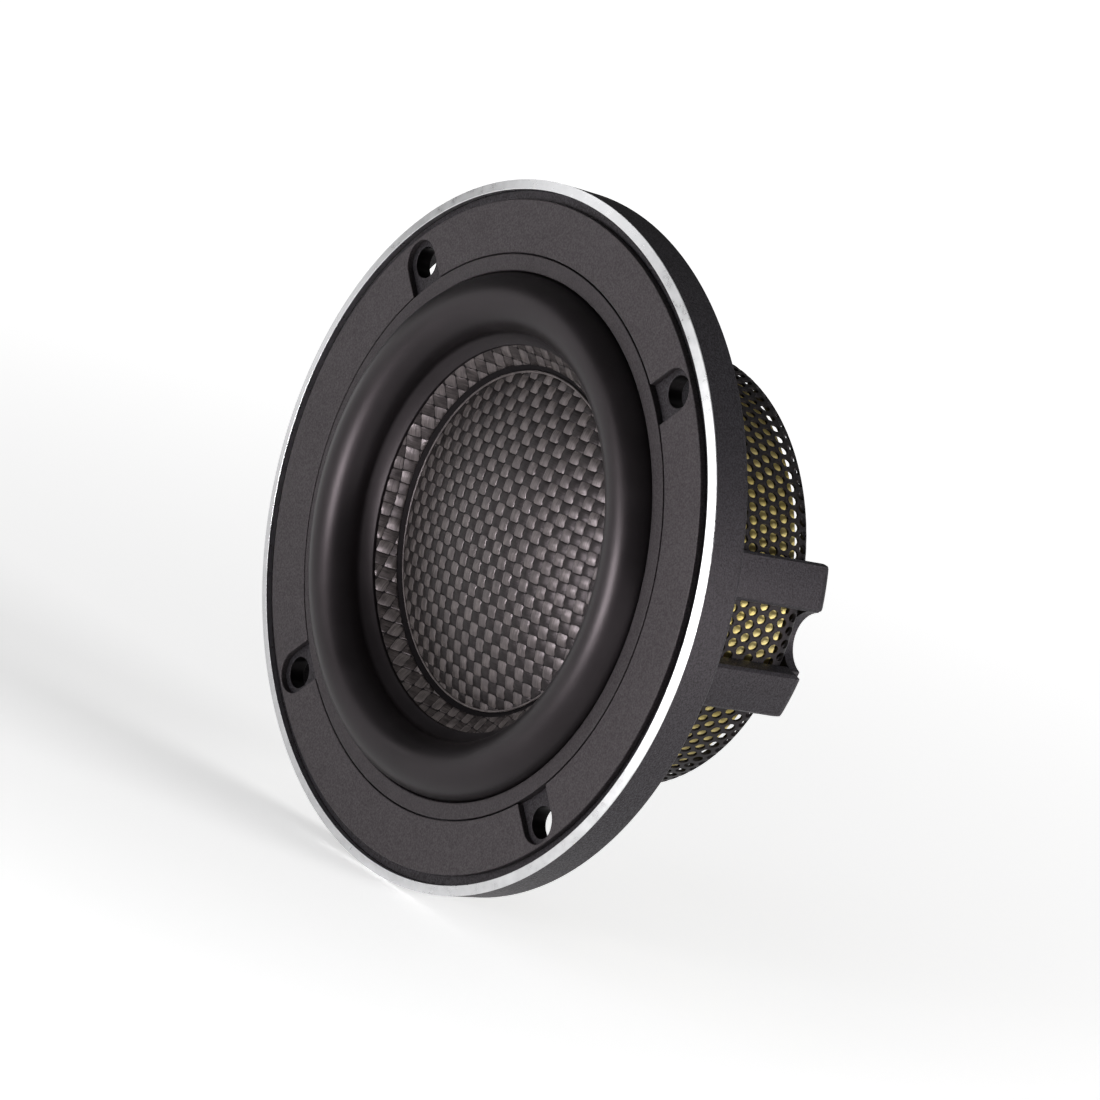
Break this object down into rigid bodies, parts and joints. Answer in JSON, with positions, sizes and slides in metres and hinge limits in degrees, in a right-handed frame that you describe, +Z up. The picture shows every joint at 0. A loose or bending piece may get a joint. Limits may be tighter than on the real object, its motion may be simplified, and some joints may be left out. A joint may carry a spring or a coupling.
{
  "type": "car loudspeaker driver",
  "caption": "Round flush-mount car midrange-tweeter driver with half-roll surround, woven carbon cone and dome, slim mesh-sleeved motor and screw flange.",
  "frame": {"origin": "centre of the screw circle, in the plane of the flange plate's rear face", "axes": "the driver faces -Y, +Y runs back through the motor, +Z is up and +X is to the right seen from the front"},
  "size_m": [0.094, 0.037, 0.094],
  "materials": {
    "black_coat": "fine textured powder coat",
    "bright_edge": "turned satin bevel",
    "face_plate": "fine grained matt",
    "clamp_ring": "fine grained matt",
    "surround_rubber": "satin butyl rubber",
    "woven_carbon": "resin-sealed plain weave carbon fibre",
    "former_film": "amber film",
    "copper_wire": "enamelled winding",
    "spider_cloth": "impregnated cloth",
    "black_plastic": "moulded matt",
    "yellow_zinc": "yellow passivated zinc plate",
    "magnet_nickel": "nickel plate",
    "copper_sheet": "plain copper",
    "black_mesh": "satin black coated perforated steel",
    "black_steel": "black oxide",
    "phenolic_board": "phenolic laminate",
    "terminal_metal": "tinned brass",
    "tinsel": "braided tinsel"
  },
  "bodies": {
    "chassis": {"basket": "black_coat", "bezel_ring": "black_coat", "trim_ring": "bright_edge", "face_plate": "face_plate", "clamp_ring": "clamp_ring", "surround": "surround_rubber", "spider": "spider_cloth", "spider_ring": "black_plastic", "motor_pot": "yellow_zinc", "magnet": "magnet_nickel", "top_plate": "yellow_zinc", "shorting_cap": "copper_sheet", "mesh_sleeve": "black_mesh", "motor_screws": "black_steel", "terminal_board": "phenolic_board", "terminal_positive": "terminal_metal", "terminal_negative": "terminal_metal", "board_rivets": "terminal_metal", "lead_positive": "tinsel", "lead_negative": "tinsel"},
    "moving_assembly": {"cone": "woven_carbon", "dust_cap": "woven_carbon", "coil_former": "former_film", "voice_coil": "copper_wire"}
  },
  "joints": [
    {"name": "cone_travel", "type": "slide", "parent": "chassis", "child": "moving_assembly", "axis": [0, -1, 0], "range_m": [-0.002, 0.002], "stiffness_N_per_m": 1200, "deforming": ["surround", "spider", "lead_positive", "lead_negative"]}
  ]
}
